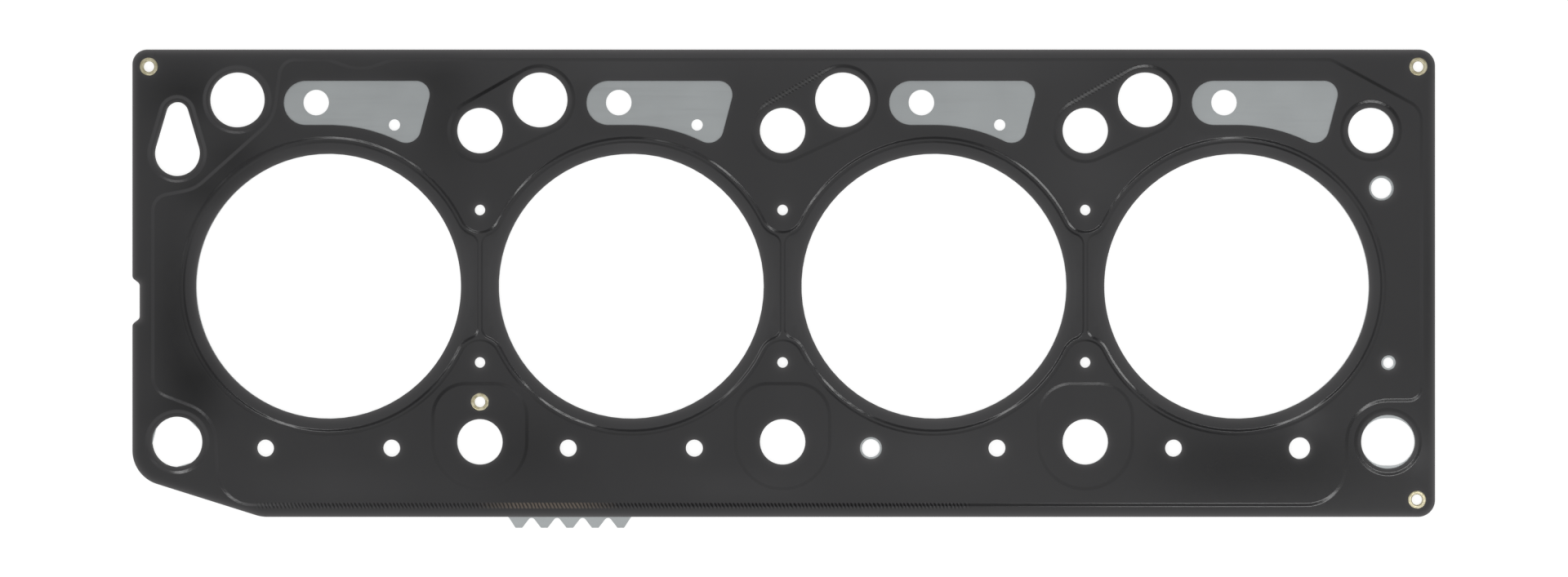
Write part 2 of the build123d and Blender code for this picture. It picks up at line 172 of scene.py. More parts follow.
# Painted shade and highlights on flanks in places: middle, reach and tone, in millimetres
PAINTED_FLANK_SHADE_PATCHES = (
    (-92, 63, 10, 6, -0.6), (186, 65, 16, 10, -0.6), (181, -45, 4, 10, -0.5), (-108, 55, 5, 8, 0.8),
    (-12, 55, 5, 8, 0.8), (84, 55, 5, 8, 0.8), (0, 71.5, 300, 1.5, 0.45), (203, 0, 3, 55, 0.8),
    (4, 63, 8, 6, -0.6), (-81, -51, 6, 13, -1.2), (-108, -37, 8, 6, -1.0), (-86, -35, 5, 3, 1.5),
    (-187, 48, 22, 25, 0.45), (-136, 70, 14, 3, 0.6),
)

# Flanks that look pressed less steep in places: middle, reach and share of the slope lost, in millimetres
PRESS_PATCHES = (
    (-121, 39.5, 6, 6, 0.45), (-140, 45.5, 6, 6, 0.15), (-181, 27, 8, 8, 0.35), (-186, 17, 8, 8, 0.35),
    (-158, -43.5, 8, 8, 0.35), (-78.5, -34, 5, 5, 0.65), (-70, -40, 5, 5, 0.2), (-62, -43.5, 5, 5, 0.33),
    (-17.5, -34, 6, 6, 0.4), (-25, 39.5, 6, 6, 0.46), (-34, 43.4, 7, 7, 0.45), (-86, 25, 9, 9, 0.5),
    (11, 27, 6, 6, 0.15), (70.8, 39.5, 5, 5, 0.25), (11, -27, 6, 6, 0.5), (25, -39.5, 6, 6, 0.15),
    (70.8, -39.5, 8, 8, 0.58), (107, 27, 7, 7, 0.3), (142, 45.6, 7, 7, 0.43), (180, 28, 10, 10, 0.5),
    (178, 57, 5, 5, 0.6), (114, -34, 6, 6, 0.35), (160, -42.5, 7, 7, 0.64), (168, -39, 6, 6, 0.5),
    (-105, -69.6, 75, 3, 1.2), (-190, -36.5, 9, 5, 0.5), (-197, -59, 5, 4, 0.8),
    (180, -45, 6, 9, 0.85), (177, -61, 7, 7, 0.85),
)
MOST_LOST = 0.85

# Scuffs along pressed flanks: start and end, in millimetres
WEB_SCUFFS = (((-7, 56.8), (14.5, 68.9)), ((89, 56.8), (110.5, 68.9)))
RIM_SCUFF = ((-168, -69.6), (60, -69.6))
# Worn stretch of the rim line: worn coat with a painted highlight in its pale brown colour
WORN_SHEEN_SCUFF = ((-97, -69.6), (-52, -69.6))

# Scuffs' half width, soft border, faded ends, and pitch, slant and sway of their strokes
SCUFF_HALF = 0.9
SCUFF_BORDER = 0.15
SCUFF_FADE = 4.0
WORN_SHEEN_FADE = 13.0
SCUFF_PITCH = 1.2
SCUFF_LEAN = 0.45
SCUFF_SWAY = 5.0

# Scuffs' looks: painted highlight and shade of the strokes, painted shade along the rim line, cover of the
# worn stretch's painted sheen, and added roughness
STROKE_PAINTED_LIGHT = 0.9
RIM_PAINTED_SHADE = -0.1
WORN_SHEEN_COVER = (0.15, 1.0)
SCUFF_ROUGH = 0.12

# Colours
COAT_DARK = (0.0019, 0.0019, 0.0024, 1)
COAT_LIGHT = (0.0506, 0.05, 0.052, 1)
# Colour of the painted glare along sheet edges
PAINTED_GLARE_COLOUR = (0.124, 0.12, 0.122, 1)
# Colour of the worn stretch, worn coat with a painted highlight
COAT_WORN_SHEEN = (0.125, 0.102, 0.083, 1)
STEEL_DARK = (0.36, 0.378, 0.383, 1)
STEEL_LIGHT = (0.405, 0.426, 0.431, 1)
BRASS_DARK = (0.4, 0.36, 0.23, 1)
BRASS_LIGHT = (0.6, 0.56, 0.41, 1)

# Finish: lowest and highest roughness of each material, and the coat's specular level
COAT_ROUGH = (0.15, 0.2)
STEEL_ROUGH = (0.38, 0.55)
BRASS_ROUGH = (0.3, 0.42)
COAT_SHINE = 0.35

# Fine relief in the materials
GRAIN_DEPTH = 0.0015 * MM
STROKE_DEPTH = 0.008 * MM
ROLLING_DEPTH = 0.006 * MM
FILM_DEPTH = 0.02 * MM

# Noise in the materials: scale, detail and roughness
COAT_GRAIN = (2600.0, 2.0, 0.6)
COAT_CLOUD = (25.0, 4.0, 0.5)
SCUFF_WANDER = (300.0, 2.0, 0.5)
STEEL_LINES = (600.0, 4.0, 0.6)
STEEL_CLOUD = (60.0, 3.0, 0.5)
BRASS_FILM = (700.0, 3.0, 0.5)
STEEL_STRETCH = (0.06, 1.0, 1.0)

# Ranges of the noise and of the strokes that are used
NOISE_RANGE = (0.3, 0.7)
CLOUD_RANGE = (0.35, 0.65)
STROKE_RANGE = (-0.8, 0.8)


def smooth_rise(share):
    """Height share on a pressed flank: straight, with a round bend at both ends."""
    top_slope = 1 / (1 - BEND_SHARE)
    if share < BEND_SHARE:
        return top_slope * share * share / (2 * BEND_SHARE)
    if share > 1 - BEND_SHARE:
        return 1 - smooth_rise(1 - share)
    return top_slope * (share - BEND_SHARE / 2)


def smooth_slope(share):
    """Slope of smooth_rise."""
    return min(share, 1 - share, BEND_SHARE) / BEND_SHARE / (1 - BEND_SHARE)


def eased(share):
    """Number from 0 to 1 that follows a share from below 0 to above 1."""
    share = min(max(share, 0), 1)
    return share * share * (3 - 2 * share)


def placed(name, data):
    """New object in the scene."""
    piece = bpy.data.objects.new(name, data)
    bpy.context.scene.collection.objects.link(piece)
    return piece


def top_skin(node):
    """Upper faces of a CAD node, with its corners joined."""
    mesh = bmesh.new()
    mesh.from_mesh(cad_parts[node].data)
    bmesh.ops.remove_doubles(mesh, verts=mesh.verts, dist=SAME_POINT)
    bmesh.ops.recalc_face_normals(mesh, faces=mesh.faces)
    hidden = [face for face in mesh.faces if face.normal.z < TOP_NORMAL]
    bmesh.ops.delete(mesh, geom=hidden, context="FACES")
    return mesh


def is_feature(edge):
    """True for a sheet edge and for a line between flat and flank."""
    if len(edge.link_faces) == 1:
        return True
    flats = [face.normal.z > FLAT_NORMAL for face in edge.link_faces]
    return flats[0] != flats[1]


def is_level(edge):
    """True for a line that stays at one height."""
    return abs(edge.verts[0].co.z - edge.verts[1].co.z) < SAME_LEVEL


def is_floor(face):
    """True for a flat face at the lower level."""
    return face.normal.z > FLAT_NORMAL and face.calc_center_median().z < FLOOR_LEVEL


def level_chains(mesh):
    """Runs of level feature edges, each a list of corners and whether it closes."""
    links = {}
    for edge in mesh.edges:
        if is_feature(edge) and is_level(edge):
            for corner in edge.verts:
                links.setdefault(corner, []).append(edge)
    used = set()
    ends = [corner for corner in links if len(links[corner]) != 2]
    chains = []
    for start in ends + list(links):
        for first in links[start]:
            if first in used:
                continue
            chain = [start]
            edge = first
            while edge is not None:
                used.add(edge)
                corner = edge.other_vert(chain[-1])
                chain.append(corner)
                following = [item for item in links[corner] if item not in used]
                edge = following[0] if len(links[corner]) == 2 and following else None
            closed = chain[0] is chain[-1]
            chains.append((chain[:-1] if closed else chain, closed))
    return chains


def turn(before, corner, after):
    """Angle by which the line turns left at a corner."""
    one = (corner - before).xy
    two = (after - corner).xy
    return math.atan2(one.x * two.y - one.y * two.x, one.dot(two))


def half_turns(points, closed):
    """Half of the angle that each run of the line stands for, with 0 for a straight run."""
    count = len(points)
    runs = count if closed else count - 1
    lengths = [(points[(i + 1) % count] - points[i]).length for i in range(runs)]
    turns = [0.0] * count
    smooth = [False] * count
    for i in range(count):
        if closed or 0 < i < count - 1:
            turns[i] = turn(points[i - 1], points[i], points[(i + 1) % count])
            near = abs(lengths[i - 1] - lengths[i]) < SAME_LENGTH * lengths[i]
            smooth[i] = near and abs(turns[i]) < SHARP_TURN
    halves = [None] * runs
    for i in range(runs):
        for end in (i, (i + 1) % count):
            if smooth[end]:
                halves[i] = turns[end] / 2
    for _ in range(TURN_PASSES):
        for i in range(runs):
            if halves[i] is not None:
                continue
            for end, other in ((i, i - 1), ((i + 1) % count, i + 1)):
                inside = closed or 0 <= other < runs
                if inside and abs(turns[end]) < SHARP_TURN and halves[other % runs] is not None:
                    halves[i] = turns[end] - halves[other % runs]
    limit = SHARP_TURN / 2
    return [0.0 if half is None or abs(half) > limit else half for half in halves]


def on_arc(start, end, half, share):
    """Point on the arc that a run from start to end stands for."""
    if abs(half) < STRAIGHT_TURN:
        return start.lerp(end, share)
    along = end - start
    side = Vector((-along.y, along.x, 0))
    heading = 2 * half * share - half
    radius = 0.5 / math.sin(half)
    across = radius * (math.cos(half) - math.cos(heading))
    return start + along * radius * (math.sin(heading) + math.sin(half)) + side * across


def edge_between(start, finish):
    """Edge that joins two corners."""
    return next(edge for edge in start.link_edges if edge.other_vert(start) is finish)


def smoothed(mesh):
    """Adds the corners that make the level feature lines round."""
    for chain, closed in level_chains(mesh):
        points = [corner.co.copy() for corner in chain]
        for i, half in enumerate(half_turns(points, closed)):
            start = chain[i]
            finish = chain[(i + 1) % len(chain)]
            length = (finish.co - start.co).length
            bow = length * abs(half) / 4
            on_border = len(edge_between(start, finish).link_faces) == 1
            pieces = max(
                math.ceil(math.sqrt(bow / ARC_BOW)),
                math.ceil(length / (LONGEST_EDGE if on_border else LONGEST_FLANK)),
            )
            places = [on_arc(start.co, finish.co, half, step / pieces) for step in range(1, pieces)]
            corner = start
            for place in places:
                _, corner = bmesh.utils.edge_split(edge_between(corner, finish), corner, 0.5)
                corner.co = place
    bmesh.ops.triangulate(mesh, faces=mesh.faces[:], ngon_method="BEAUTY")
    mesh.normal_update()
    return mesh


class Plan:
    """A sheet from above: its points in millimetres, their height, slope and depth, and its lines."""

    def __init__(self):
        self.points = []
        self.values = []
        self.features = []
        self.lines = []

    def add(self, place, slope=(0.0, 0.0), depth=1.0):
        """Adds a point and gives its number."""
        self.points.append(Vector((place.x / MM, place.y / MM)))
        self.values.append((place.z, slope, depth))
        return len(self.points) - 1

    def outline(self):
        """Plan of the feature lines alone."""
        plain = Plan()
        numbers = {}
        for line in self.features:
            for end in line:
                if end not in numbers:
                    numbers[end] = len(plain.points)
                    plain.points.append(self.points[end])
                    plain.values.append(self.values[end])
            plain.features.append((numbers[line[0]], numbers[line[1]]))
        return plain


def slope_of(normal):
    """Slope of a surface along X and Y."""
    return (-normal.x / normal.z, -normal.y / normal.z)


def soft_corners(mesh):
    """Corners of the shallow pads' floors."""
    soft = set()
    seen = set()
    for first in mesh.faces:
        if first in seen or not is_floor(first):
            continue
        seen.add(first)
        patch = [first]
        for face in patch:
            for edge in face.edges:
                for other in edge.link_faces:
                    if other not in seen and is_floor(other):
                        seen.add(other)
                        patch.append(other)
        corners = {corner for face in patch for corner in face.verts}
        for x, y in SOFT_PAD_MIDDLES:
            if all(math.hypot(corner.co.x - x, corner.co.y - y) < SOFT_PAD_REACH for corner in corners):
                soft |= corners
    return soft


def flank_rungs(plan, mesh, index, soft):
    """Level lines across the flanks, which carry their rounded profile."""
    rungs = {}
    for edge in mesh.edges:
        low, high = sorted(edge.verts, key=lambda corner: corner.co.z)
        rise = high.co.z - low.co.z
        flanks = [face for face in edge.link_faces if face.normal.z <= FLAT_NORMAL]
        if rise < SAME_LEVEL or not flanks:
            continue
        slopes = [slope_of(face.normal) for face in flanks]
        slope = tuple(sum(values) / len(slopes) for values in zip(*slopes))
        depth = SOFT_PAD_DEPTH if low in soft else 1.0
        found = {}
        for step, share in enumerate(RUNG_SHARES):
            level = LOW_TOP + EMBOSS_HEIGHT * share
            if low.co.z + SAME_LEVEL < level < high.co.z - SAME_LEVEL:
                place = low.co.lerp(high.co, (level - low.co.z) / rise)
                found[step] = plan.add(place, slope, depth)
        rungs[edge] = found
        if len(edge.link_faces) == 1:
            ends = [index[low], *found.values(), index[high]]
            plan.features.extend(zip(ends[:-1], ends[1:]))
    for face in mesh.faces:
        if face.normal.z > FLAT_NORMAL:
            continue
        for step in range(len(RUNG_SHARES)):
            cut = [rungs[edge][step] for edge in face.edges if step in rungs.get(edge, {})]
            if len(cut) == 2:
                plan.lines.append(tuple(cut))


def inward(corner_edges):
    """Way from a sheet edge into the sheet, at a corner, from the edges that meet there."""
    total = Vector((0, 0, 0))
    for edge in corner_edges:
        along = edge.verts[1].co - edge.verts[0].co
        side = Vector((-along.y, along.x, 0)).normalized()
        if side.dot(edge.link_faces[0].calc_center_median() - edge.verts[0].co) < 0:
            side.negate()
        total += side
    if total.length < LEAST_MITRE:
        return Vector((0, 0, 0))
    share = total.length / len(corner_edges)
    return total.normalized() / max(share, EDGE_MITRE)


def straight_down(tree, place):
    """Where a line down through a place meets the sheet, with the normal and the face there."""
    return tree.ray_cast(Vector((place.x, place.y, 1)), Vector((0, 0, -1)))[:3]


def add_free(plan, tree, place, soft_faces):
    """Adds a point of the flat surface, where there is one."""
    hit, normal, face = straight_down(tree, place)
    if hit is not None and normal.z > FLAT_NORMAL:
        plan.add(hit, depth=SOFT_PAD_DEPTH if soft_faces[face] else 1.0)


def sheet_plan(mesh, tree):
    """Plan of the whole upper surface."""
    plan = Plan()
    soft = soft_corners(mesh)
    soft_faces = [any(corner in soft for corner in face.verts) for face in mesh.faces]
    edges = [edge for edge in mesh.edges if is_feature(edge)]
    index = {}
    for edge in edges:
        for corner in edge.verts:
            if corner not in index:
                index[corner] = plan.add(corner.co, depth=SOFT_PAD_DEPTH if corner in soft else 1.0)
    for edge in edges:
        if is_level(edge):
            plan.features.append((index[edge.verts[0]], index[edge.verts[1]]))
    flank_rungs(plan, mesh, index, soft)
    borders = [edge for edge in edges if len(edge.link_faces) == 1]
    rim = {}
    for edge in borders:
        for corner in edge.verts:
            rim.setdefault(corner, []).append(edge)
    inset = {}
    for corner, corner_edges in rim.items():
        way = inward(corner_edges)
        place = corner.co + way * EDGE_BREAK
        inset[corner] = plan.add(place, depth=SOFT_PAD_DEPTH if corner in soft else 1.0)
        for offset in RIM_OFFSETS:
            add_free(plan, tree, corner.co + way * offset, soft_faces)
    for edge in borders:
        plan.lines.append((inset[edge.verts[0]], inset[edge.verts[1]]))
    low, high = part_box("upper_active_layer")
    columns = math.ceil((high.x - low.x) / GRID_PITCH)
    rows = math.ceil((high.y - low.y) / GRID_PITCH)
    for column in range(columns):
        for row in range(rows):
            shift = GRID_PITCH / 2 if row % 2 else 0
            place = Vector((low.x + column * GRID_PITCH + shift, low.y + row * GRID_PITCH, LOW_TOP))
            add_free(plan, tree, place, soft_faces)
    return plan


def edge_loops(mesh):
    """Sheet edges in groups, one for the outline and one for each hole."""
    seen = set()
    loops = []
    for first in mesh.edges:
        if first in seen or len(first.link_faces) != 1:
            continue
        seen.add(first)
        loop = [first]
        for edge in loop:
            for corner in edge.verts:
                for other in corner.link_edges:
                    if other not in seen and len(other.link_faces) == 1:
                        seen.add(other)
                        loop.append(other)
        loops.append(loop)
    return loops


def painted_glare(loop):
    """How strong the painted glare is at this edge: most at the outline, least at the windows."""
    columns = [corner.co.x for edge in loop for corner in edge.verts]
    width = max(columns) - min(columns)
    for least, glow in PAINTED_GLARE_STRENGTHS:
        if width > least:
            return glow


def edge_samples(mesh):
    """Points close together along every sheet edge, and how strong the painted glare is there."""
    samples = []
    glows = []
    for loop in edge_loops(mesh):
        glow = painted_glare(loop)
        for edge in loop:
            start, finish = (corner.co for corner in edge.verts)
            count = max(1, math.ceil((finish - start).length / EDGE_SAMPLE))
            for step in range(count):
                place = start.lerp(finish, step / count)
                samples.append(Vector((place.x, place.y, 0)))
                glows.append(glow)
    tree = kdtree.KDTree(len(samples))
    for number, place in enumerate(samples):
        tree.insert(place, number)
    tree.balance()
    return tree, glows


def patch_total(patches, place):
    """Sum of the patches' strengths at a place, each of which fades away from its middle."""
    total = 0.0
    for middle_x, middle_y, reach_x, reach_y, strength in patches:
        across = (place.x / MM - middle_x) / reach_x
        upward = (place.y / MM - middle_y) / reach_y
        total += strength * math.exp(-across ** 2 - upward ** 2)
    return total


def painted_shading(place, flank_shading_weight, shallow):
    """How pale the coat is painted at a place, from -1 to 1, for shade and light: painted patches and glare
    on the flats, painted shading on the flanks, even on shallow ones.
    """
    x, y = place.x / MM, place.y / MM
    radius = min(math.hypot(x - middle, y) for middle in BORE_MIDDLES)
    near, far = ANNULUS_REACH
    # Painted shade and highlight patches, and painted glare round the bores
    tone = patch_total(PAINTED_SHADING_PATCHES, place) + ANNULUS_PAINTED_GLARE * eased((far - radius) / (far - near))
    left, right = FLANK_REACH
    pale, plain = PAINTED_FLANK_SHADING
    painted_flank_shade = plain + ((pale if shallow else 0) - plain) * eased((right - x) / (right - left))
    painted_flank_shade += patch_total(PAINTED_FLANK_SHADE_PATCHES, place)
    return tone + (painted_flank_shade - tone) * flank_shading_weight


def surface_at(spot, tree):
    """Height, slope and depth of the surface at a spot in millimetres, where lines of the plan cross."""
    hit, normal, _, _ = tree.find_nearest(Vector((spot.x * MM, spot.y * MM, LOW_TOP)))
    return hit.z, slope_of(normal), 1.0


def relief(plan, tree):
    """Triangles of a plan, with the places, normals and painted shading of their corners."""
    found = delaunay_2d_cdt(plan.points, plan.features + plan.lines, [], 0, PLAN_GAP)
    places = []
    normals = []
    tones = []
    for spot, sources in zip(found[0], found[3]):
        height, slope, depth = plan.values[sources[0]] if sources else surface_at(spot, tree)
        share = min(max((height - LOW_TOP) / EMBOSS_HEIGHT, 0), 1)
        steepness = math.hypot(*slope)
        shallow = 0 < steepness < SHALLOW_SLOPE
        level = HIGH_TOP - EMBOSS_HEIGHT * (1 - smooth_rise(share)) * depth
        place = Vector((spot.x * MM, spot.y * MM, level))
        pressed = 1 - min(patch_total(PRESS_PATCHES, place), MOST_LOST)
        gain = smooth_slope(share) * depth * pressed * (SHALLOW_GAIN if shallow else 1.0)
        # Weight of the painted flank shading: most mid-flank, and on steep flanks most where they face
        # along Y
        flank_shading_weight = smooth_slope(share) * (1 - BEND_SHARE) * depth
        if steepness >= SHALLOW_SLOPE:
            flank_shading_weight *= (slope[1] / steepness) ** 2
        places.append(place)
        normals.append(Vector((-slope[0] * gain, -slope[1] * gain, 1)).normalized())
        tones.append(painted_shading(place, flank_shading_weight, shallow))
    shown = []
    for triangle in found[2]:
        middle = sum((places[i] for i in triangle), Vector()) / 3
        if straight_down(tree, middle)[0] is not None:
            shown.append(tuple(triangle))
    return places, normals, shown, tones


def border_runs(triangles):
    """Directed sheet edges, with the sheet on their left."""
    sides = set()
    for one, two, three in triangles:
        sides.update(((one, two), (two, three), (three, one)))
    return [side for side in sides if (side[1], side[0]) not in sides]


def outward_ways(places, runs):
    """Level way out of the sheet at each corner of its edges."""
    ways = {}
    for one, two in runs:
        along = (places[two] - places[one]).xy.normalized()
        side = Vector((along.y, -along.x, 0))
        for corner in (one, two):
            ways[corner] = ways.get(corner, Vector((0, 0, 0))) + side
    return {corner: way.normalized() for corner, way in ways.items()}


def key_of(place):
    """Name of a place on the plan, for finding it again."""
    return (round(place.x / MM, 3), round(place.y / MM, 3))


class Shell:
    """Mesh under way: places with their coat values, and faces with a normal for each corner."""

    def __init__(self):
        self.places = []
        self.faces = []
        self.normals = []
        self.values = {"edge_distance": [], "painted_glare": [], "painted_shading": []}

    def add(self, place, distance=0.0, glow=0.0, tone=0.0):
        """Adds a place and gives its number."""
        self.places.append(place)
        for values, value in zip(self.values.values(), (distance, glow, tone)):
            values.append(value)
        return len(self.places) - 1

    def face(self, corners, normals):
        """Adds a face."""
        self.faces.append(tuple(corners))
        self.normals.extend(normals)

    def turn_over(self):
        """Mirrors the shell at the middle of the stack."""
        self.places = [Vector((place.x, place.y, STACK_HEIGHT - place.z)) for place in self.places]
        first = 0
        for face in self.faces:
            block = self.normals[first:first + len(face)]
            mirrored = [Vector((way.x, way.y, -way.z)) for way in reversed(block)]
            self.normals[first:first + len(face)] = mirrored
            first += len(face)
        self.faces = [tuple(reversed(face)) for face in self.faces]

    def piece(self, name):
        """Object with this mesh."""
        data = bpy.data.meshes.new(name)
        data.from_pydata(self.places, [], self.faces)
        for label, values in self.values.items():
            data.attributes.new(label, "FLOAT", "POINT").data.foreach_set("value", values)
        data.update()
        data.shade_smooth()
        data.normals_split_custom_set(self.normals)
        return placed(name, data)


def active_sheet(name, skin, mirrored):
    """One active layer: pressed sheet of constant thickness with broken edges."""
    tree = BVHTree.FromBMesh(skin)
    plan = sheet_plan(skin, tree)
    samples, sample_glows = edge_samples(skin)
    shell = Shell()

    # Front
    places, normals, triangles, tones = relief(plan, tree)
    runs = border_runs(triangles)
    ways = outward_ways(places, runs)
    for number, place in enumerate(places):
        _, nearest, distance = samples.find(Vector((place.x, place.y, 0)))
        distance = min(distance / MM, EDGE_FAR)
        if number in ways:
            place.z -= EDGE_DROP
            distance = 0.0
            normals[number] = (ways[number] * EDGE_LEAN + normals[number]).normalized()
        shell.add(place, distance, sample_glows[nearest], tones[number])
    for triangle in triangles:
        shell.face(triangle, [normals[corner] for corner in triangle])

    # Wall along every edge
    wall = Vector((0, 0, LAYER_THICKNESS - EDGE_DROP))
    under = {corner: shell.add(places[corner] - wall) for corner in ways}
    for one, two in runs:
        shell.face((one, under[one], under[two], two), (ways[one], ways[one], ways[two], ways[two]))

    # Back
    places_behind, _, triangles_behind, _ = relief(plan.outline(), tree)
    known = {key_of(places[corner]): low for corner, low in under.items()}
    numbers = []
    for place in places_behind:
        number = known.get(key_of(place))
        if number is None:
            number = shell.add(place - Vector((0, 0, LAYER_THICKNESS)), EDGE_FAR)
        numbers.append(number)
    for triangle in triangles_behind:
        shell.face((numbers[corner] for corner in reversed(triangle)), [Vector((0, 0, -1))] * 3)

    if mirrored:
        shell.turn_over()
    return shell.piece(name)


def rolled_eyelet(name, node, seed):
    """Brass eyelet with its rims rolled over by hand tools, a little out of round."""
    low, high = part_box(node)
    middle = (low + high) / 2
    draw = random.Random(seed)
    waves = []
    for count in EYELET_WAVES:
        waves.append((count, draw.uniform(*EYELET_WAVE_SIZES), draw.uniform(0, 2 * math.pi)))
    half = [(radius * MM, STACK_HEIGHT - depth * MM) for radius, depth in EYELET_PROFILE]
    profile = half + [(radius, STACK_HEIGHT - height) for radius, height in reversed(half)]
    places = []
    for step in range(EYELET_STEPS):
        angle = 2 * math.pi * step / EYELET_STEPS
        dent = sum(size * (1 + math.sin(count * angle + phase)) for count, size, phase in waves)
        for radius, height in profile:
            uneven = max(0.0, radius - EYELET_TRUE) * dent
            side = 1 if height > STACK_HEIGHT / 2 else -1
            level = height - side * uneven * EYELET_LIFT
            across = Vector((math.cos(angle), math.sin(angle), 0)) * (radius - uneven * EYELET_DENT)
            places.append(Vector((middle.x, middle.y, level)) + across)
    ring = len(profile)
    faces = []
    for step in range(EYELET_STEPS):
        this = step * ring
        following = (step + 1) % EYELET_STEPS * ring
        for spot in range(ring):
            beside = (spot + 1) % ring
            faces.append((this + spot, following + spot, following + beside, this + beside))
    data = bpy.data.meshes.new(name)
    data.from_pydata(places, [], faces)
    data.update()
    data.shade_smooth()
    mesh = bmesh.new()
    mesh.from_mesh(data)
    bmesh.ops.recalc_face_normals(mesh, faces=mesh.faces)
    mesh.to_mesh(data)
    mesh.free()
    return placed(name, data)


class Nodes:
    """Short ways to add nodes to a node tree."""

    def __init__(self, tree):
        self.tree = tree
        self.tree.nodes.clear()

    def add(self, kind, **values):
        """Adds a node with these settings."""
        node = self.tree.nodes.new(kind)
        for name, value in values.items():
            setattr(node, name, value)
        return node

    def join(self, output, target):
        """Links an output to an input."""
        self.tree.links.new(output, target)

    def put(self, target, value):
        """Sets a socket to a number or joins an output to it."""
        if isinstance(value, bpy.types.NodeSocket):
            self.join(value, target)
        else:
            target.default_value = value

    def spread(self, value, low, high, out_low=0.0, out_high=1.0, course="LINEAR"):
        """Value moved from one range to another and kept inside it."""
        node = self.add("ShaderNodeMapRange", interpolation_type=course)
        for target, number in zip(node.inputs, (value, low, high, out_low, out_high)):
            self.put(target, number)
        return node.outputs[0]

    def sums(self, kind, one, two=0.0, three=None):
        """Result of a sum on two or three values."""
        node = self.add("ShaderNodeMath", operation=kind)
        self.put(node.inputs[0], one)
        self.put(node.inputs[1], two)
        if three is not None:
            self.put(node.inputs[2], three)
        return node.outputs[0]


class Surface(Nodes):
    """A new material and short ways to build its look."""

    def __init__(self, name):
        self.material = bpy.data.materials.new(name)
        self.material.use_nodes = True
        super().__init__(self.material.node_tree)
        self.shader = self.add("ShaderNodeBsdfPrincipled")
        output = self.add("ShaderNodeOutputMaterial")
        self.join(self.shader.outputs[0], output.inputs["Surface"])
        self.place = self.add("ShaderNodeTexCoord").outputs["Object"]

    def shade(self, **values):
        """Sets the shader's inputs, each under its name with _ for a space."""
        for name, value in values.items():
            self.put(self.shader.inputs[name.replace("_", " ")], value)

    def attribute(self, name):
        """Value that the mesh carries under a name."""
        return self.add("ShaderNodeAttribute", attribute_name=name).outputs["Fac"]

    def noise(self, kind, stretch=None):
        """Noise value on the object's own coordinates."""
        node = self.add("ShaderNodeTexNoise")
        for name, value in zip(("Scale", "Detail", "Roughness"), kind):
            node.inputs[name].default_value = value
        source = self.place
        if stretch is not None:
            mapping = self.add("ShaderNodeMapping")
            mapping.inputs["Scale"].default_value = stretch
            self.join(source, mapping.inputs["Vector"])
            source = mapping.outputs[0]
        self.join(source, node.inputs["Vector"])
        return node.outputs["Fac"]

    def line(self, start, end):
        """Distance in millimetres along a line on the sheet and across it, and the line's length."""
        start, end = (Vector((*point, 0)) for point in (start, end))
        way = (end - start).normalized()
        from_start = self.add("ShaderNodeVectorMath", operation="SUBTRACT")
        self.join(self.place, from_start.inputs[0])
        from_start.inputs[1].default_value = start * MM
        distances = []
        for direction in (way, Vector((-way.y, way.x, 0))):
            product = self.add("ShaderNodeVectorMath", operation="DOT_PRODUCT")
            self.join(from_start.outputs[0], product.inputs[0])
            product.inputs[1].default_value = direction / MM
            distances.append(product.outputs["Value"])
        return distances[0], distances[1], (end - start).length

    def scuff(self, start, end, fade):
        """Mask of a scuff along a line, and the wave from -1 to 1 of its slanted strokes."""
        along, across, length = self.line(start, end)
        mask = self.sums("MULTIPLY", self.spread(along, 0, fade), self.spread(along, length, length - fade))
        off = self.sums("ABSOLUTE", across)
        width = self.spread(off, SCUFF_HALF + SCUFF_BORDER, SCUFF_HALF - SCUFF_BORDER)
        wander = self.sums("MULTIPLY", self.noise(SCUFF_WANDER), SCUFF_SWAY)
        course = self.sums("MULTIPLY_ADD", across, SCUFF_LEAN, along)
        phase = self.sums("MULTIPLY_ADD", course, 2 * math.pi / SCUFF_PITCH, wander)
        return self.sums("MULTIPLY", mask, width), self.sums("SINE", phase)

    def blend(self, share, one, two):
        """Colour between two colours."""
        node = self.add("ShaderNodeMix", data_type="RGBA")
        self.put(node.inputs["Factor"], share)
        self.put(node.inputs[6], one)
        self.put(node.inputs[7], two)
        return node.outputs[2]

    def bump(self, height, distance, before=None):
        """Normal that shows a height, which is from 0 to 1."""
        node = self.add("ShaderNodeBump")
        node.inputs["Strength"].default_value = 1.0
        node.inputs["Distance"].default_value = distance
        self.join(height, node.inputs["Height"])
        if before is not None:
            self.join(before, node.inputs["Normal"])
        return node.outputs[0]


